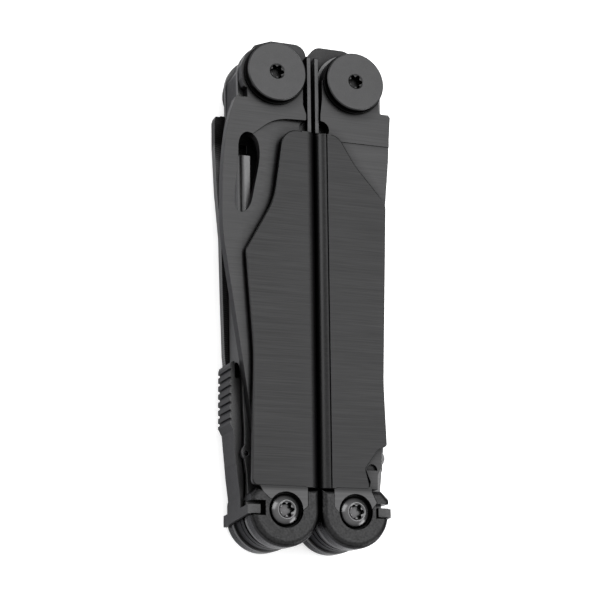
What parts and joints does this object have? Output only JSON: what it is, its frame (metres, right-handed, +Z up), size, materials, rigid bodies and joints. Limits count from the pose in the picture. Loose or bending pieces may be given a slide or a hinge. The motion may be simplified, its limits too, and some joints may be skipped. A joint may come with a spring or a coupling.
{
  "type": "folding multi tool",
  "caption": "Closed pocket plier multi tool with two folding handles, outside blades, inside tools, liner locks and rocking lock levers, all in black oxide steel.",
  "frame": {"origin": "on the surface that the tool lies on, under the centre of its outline", "axes": "+Y along the tool to its plier-pivot end, +X to the saw handle, +Z up out of the knife side"},
  "size_m": [0.0388, 0.1031, 0.0173],
  "materials": {
    "plate": "black oxide, fine brushing across the tool",
    "blade": "black oxide, satin with brushed grinds",
    "disc": "black oxide, matte",
    "bolster": "black oxide, bead blasted",
    "fastener": "black oxide, polished",
    "washer": "black oxide, satin",
    "channel": "black oxide, satin",
    "lever": "black oxide, matte",
    "inner_tool": "black oxide, satin",
    "jaw": "black oxide, forged and blasted"
  },
  "bodies": {
    "plier_half_left": {"left_jaw": "jaw", "plier_rivet": "fastener", "left_jaw_cutter": "jaw", "left_jaw_cutter_screw": "fastener"},
    "plier_half_right": {"right_jaw": "jaw", "right_jaw_cutter": "jaw", "right_jaw_cutter_screw": "fastener"},
    "left_handle": {"left_channel": "channel", "left_front_bolster": "bolster", "left_rear_bolster": "bolster", "left_pivot_screw": "disc", "left_pivot_barrel": "disc", "left_pivot_washers": "washer", "left_end_screw": "fastener", "left_end_barrel": "fastener", "left_lever_pin": "fastener", "left_knife_plate": "plate", "left_blade_plate": "plate", "left_tool_washers": "washer"},
    "right_handle": {"right_channel": "channel", "right_front_bolster": "bolster", "right_rear_bolster": "bolster", "right_pivot_screw": "disc", "right_pivot_barrel": "disc", "right_pivot_washers": "washer", "right_end_screw": "fastener", "right_end_barrel": "fastener", "right_lever_pin": "fastener", "right_knife_plate": "plate", "right_blade_plate": "plate", "right_tool_washers": "washer"},
    "left_lever": {"left_lock_lever": "lever"},
    "right_lever": {"right_lock_lever": "lever"},
    "knife": {"knife": "blade"},
    "file": {"file": "blade"},
    "saw": {"saw": "blade"},
    "serrated_knife": {"serrated_knife": "blade"},
    "left_knife_lock": {"left_knife_liner_lock": "channel"},
    "left_blade_lock": {"left_blade_liner_lock": "channel"},
    "right_knife_lock": {"right_knife_liner_lock": "channel"},
    "right_blade_lock": {"right_blade_liner_lock": "channel"},
    "bit_driver": {"bit_driver": "inner_tool", "driver_bit": "inner_tool", "bit_spring": "inner_tool"},
    "scissors": {"scissor_blade": "inner_tool", "scissor_rivet": "fastener", "scissor_spring": "inner_tool"},
    "scissor_lever": {"scissor_lever": "inner_tool"},
    "can_opener": {"can_opener": "inner_tool"},
    "screwdriver": {"screwdriver": "inner_tool"},
    "small_bit_driver": {"small_bit_driver": "inner_tool", "small_bit": "inner_tool"}
  },
  "joints": [
    {"name": "handles_unfold", "type": "hinge", "parent": "plier_half_left", "child": "left_handle", "pos_m": [-0.00847, 0.0429, 0.00867], "axis": [0, 0, -1], "range_deg": [0, 180]},
    {"name": "right_handle_unfold", "type": "hinge", "parent": "plier_half_right", "child": "right_handle", "pos_m": [0.00847, 0.0429, 0.00867], "axis": [0, 0, -1], "range_deg": [-180, 0]},
    {"name": "jaws_open", "type": "hinge", "parent": "plier_half_left", "child": "plier_half_right", "pos_m": [0, 0.02165, 0.00867], "axis": [0, 0, -1], "range_deg": [0, 36]},
    {"name": "knife_open", "type": "hinge", "parent": "left_handle", "child": "knife", "pos_m": [-0.00847, 0.0429, 0.00867], "axis": [0, 0, -1], "range_deg": [0, 180]},
    {"name": "file_open", "type": "hinge", "parent": "left_handle", "child": "file", "pos_m": [-0.00847, 0.0429, 0.00867], "axis": [0, 0, -1], "range_deg": [0, 180]},
    {"name": "saw_open", "type": "hinge", "parent": "right_handle", "child": "saw", "pos_m": [0.00847, 0.0429, 0.00867], "axis": [0, 0, -1], "range_deg": [-180, 0]},
    {"name": "serrated_knife_open", "type": "hinge", "parent": "right_handle", "child": "serrated_knife", "pos_m": [0.00847, 0.0429, 0.00867], "axis": [0, 0, -1], "range_deg": [-180, 0]},
    {"name": "knife_lock_spring", "type": "hinge", "parent": "left_handle", "child": "left_knife_lock", "pos_m": [-0.0024, -0.00885, 0.01267], "axis": [1, 0, 0], "range_deg": [0, 0.6]},
    {"name": "file_lock_spring", "type": "hinge", "parent": "left_handle", "child": "left_blade_lock", "pos_m": [-0.0024, -0.00885, 0.00467], "axis": [-1, 0, 0], "range_deg": [0, 0.6]},
    {"name": "saw_lock_spring", "type": "hinge", "parent": "right_handle", "child": "right_blade_lock", "pos_m": [0.0024, -0.00885, 0.01267], "axis": [1, 0, 0], "range_deg": [0, 0.6]},
    {"name": "serrated_knife_lock_spring", "type": "hinge", "parent": "right_handle", "child": "right_knife_lock", "pos_m": [0.0024, -0.00885, 0.00467], "axis": [-1, 0, 0], "range_deg": [0, 0.6]},
    {"name": "left_lever_press", "type": "hinge", "parent": "left_handle", "child": "left_lever", "pos_m": [-0.0138, -0.03375, 0.00867], "axis": [0, 0, -1], "range_deg": [0, 2], "stiffness_Nm_per_rad": 0.6, "springref_deg": -1.15},
    {"name": "right_lever_press", "type": "hinge", "parent": "right_handle", "child": "right_lever", "pos_m": [0.0138, -0.03375, 0.00867], "axis": [0, 0, -1], "range_deg": [-2, 0], "stiffness_Nm_per_rad": 0.6, "springref_deg": 1.15},
    {"name": "bit_driver_open", "type": "hinge", "parent": "left_handle", "child": "bit_driver", "pos_m": [-0.00706, -0.0446, 0.00867], "axis": [0, 0, -1], "range_deg": [0, 180]},
    {"name": "scissors_open", "type": "hinge", "parent": "left_handle", "child": "scissors", "pos_m": [-0.00706, -0.0446, 0.00867], "axis": [0, 0, -1], "range_deg": [0, 180]},
    {"name": "scissor_squeeze", "type": "hinge", "parent": "scissors", "child": "scissor_lever", "pos_m": [-0.0092, -0.02085, 0.00867], "axis": [0, 0, 1], "range_deg": [0, 18]},
    {"name": "can_opener_open", "type": "hinge", "parent": "right_handle", "child": "can_opener", "pos_m": [0.00706, -0.0446, 0.00867], "axis": [0, 0, -1], "range_deg": [-180, 0]},
    {"name": "screwdriver_open", "type": "hinge", "parent": "right_handle", "child": "screwdriver", "pos_m": [0.00706, -0.0446, 0.00867], "axis": [0, 0, -1], "range_deg": [-180, 0]},
    {"name": "small_bit_driver_open", "type": "hinge", "parent": "right_handle", "child": "small_bit_driver", "pos_m": [0.00706, -0.0446, 0.00867], "axis": [0, 0, -1], "range_deg": [-180, 0]}
  ],
  "couplings": [
    {"joint": "right_handle_unfold", "follows": "handles_unfold", "ratio": -1},
    {"joint": "jaws_open", "follows": "handles_unfold", "ratio": 0.2},
    {"joint": "bit_driver_open", "follows": "handles_unfold", "ratio": 1},
    {"joint": "scissors_open", "follows": "handles_unfold", "ratio": 1},
    {"joint": "scissor_squeeze", "follows": "handles_unfold", "ratio": 0.1},
    {"joint": "can_opener_open", "follows": "handles_unfold", "ratio": -1},
    {"joint": "screwdriver_open", "follows": "handles_unfold", "ratio": -1},
    {"joint": "small_bit_driver_open", "follows": "handles_unfold", "ratio": -1},
    {"joint": "knife_lock_spring", "follows": "knife_open", "ratio": 0.0033},
    {"joint": "file_lock_spring", "follows": "file_open", "ratio": 0.0033},
    {"joint": "saw_lock_spring", "follows": "saw_open", "ratio": -0.0033},
    {"joint": "serrated_knife_lock_spring", "follows": "serrated_knife_open", "ratio": -0.0033}
  ]
}
